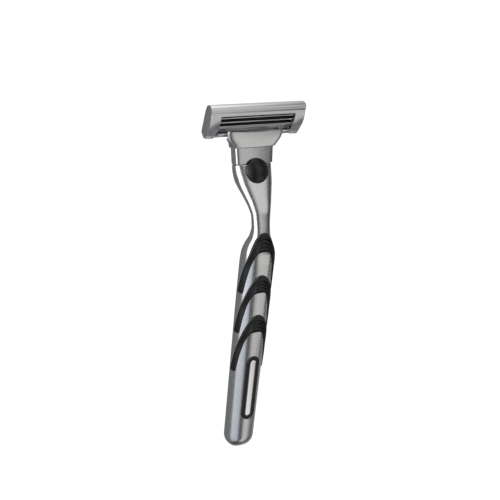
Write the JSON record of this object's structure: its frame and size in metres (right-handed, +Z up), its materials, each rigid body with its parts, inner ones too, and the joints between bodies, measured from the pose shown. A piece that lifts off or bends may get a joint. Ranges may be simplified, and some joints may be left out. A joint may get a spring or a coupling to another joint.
{
  "type": "cartridge razor",
  "caption": "Slim wet-shaving razor with a pivoting multi-blade cartridge on a slide-off connector, a round release button and rubber grip arches down a leaning silver handle.",
  "frame": {"origin": "seat of the head: midway between the two flat pads under the cartridge's end blocks, where a cradle carries the hanging razor", "axes": "+Z up, the razor hanging head up; X along the blades; +Y to the side that the blades face, and towards which the handle's lower end leans"},
  "size_m": [0.042, 0.0239, 0.1387],
  "materials": {
    "satin_silver": "satin anodised silver with a soft sheen",
    "silver_plastic": "silver-pigmented plastic, satin",
    "bright_inlay": "polished bright",
    "black_rubber": "soft-touch black rubber with moulded ribs",
    "dark_nylon": "dark moulded nylon",
    "button_black": "semi-gloss black",
    "blade_steel": "ground stainless edge",
    "bracket_steel": "bent stainless strip",
    "spring_steel": "drawn spring wire",
    "clip_aluminium": "bent aluminium strip",
    "lubricating_strip": "waxy pale green"
  },
  "bodies": {
    "handle": {"handle_body": "satin_silver", "grip_arch_upper": "black_rubber", "grip_arch_middle": "black_rubber", "grip_arch_lower": "black_rubber", "end_ring": "black_rubber", "ring_inlay": "bright_inlay", "nose_block": "dark_nylon"},
    "plunger": {"plunger": "dark_nylon", "plunger_spring": "spring_steel"},
    "release": {"release_button": "button_black", "ejector_slider": "dark_nylon", "ejector_spring_left": "spring_steel", "ejector_spring_right": "spring_steel"},
    "connector": {"connector_collar": "satin_silver", "connector_yoke": "satin_silver"},
    "head": {"cartridge_housing": "silver_plastic", "lubricating_strip": "lubricating_strip", "guard_strip": "black_rubber", "blade_1": "blade_steel", "blade_2": "blade_steel", "blade_3": "blade_steel", "blade_support_1": "bracket_steel", "blade_support_2": "bracket_steel", "blade_support_3": "bracket_steel", "retaining_clip_left": "clip_aluminium", "retaining_clip_right": "clip_aluminium"}
  },
  "joints": [
    {"name": "cartridge_release", "type": "slide", "parent": "handle", "child": "connector", "axis": [0, 0, 1], "range_m": [0, 0.0115]},
    {"name": "head_pivot", "type": "hinge", "parent": "connector", "child": "head", "pos_m": [0, -0.00002, 0.00264], "axis": [1, 0, 0], "range_deg": [0, 40], "stiffness_Nm_per_rad": 0.02, "springref_deg": -11.46},
    {"name": "plunger_slide", "type": "slide", "parent": "handle", "child": "plunger", "axis": [0, 0, -1], "range_m": [0, 0.00096], "deforming": ["plunger_spring"]},
    {"name": "button_slide", "type": "slide", "parent": "handle", "child": "release", "axis": [0, 0, 1], "range_m": [0, 0.0025], "stiffness_N_per_m": 200, "springref_m": -0.001, "deforming": ["ejector_spring_left", "ejector_spring_right"]}
  ],
  "couplings": [
    {"joint": "plunger_slide", "follows": "head_pivot", "m_per_rad": 0.00135}
  ]
}
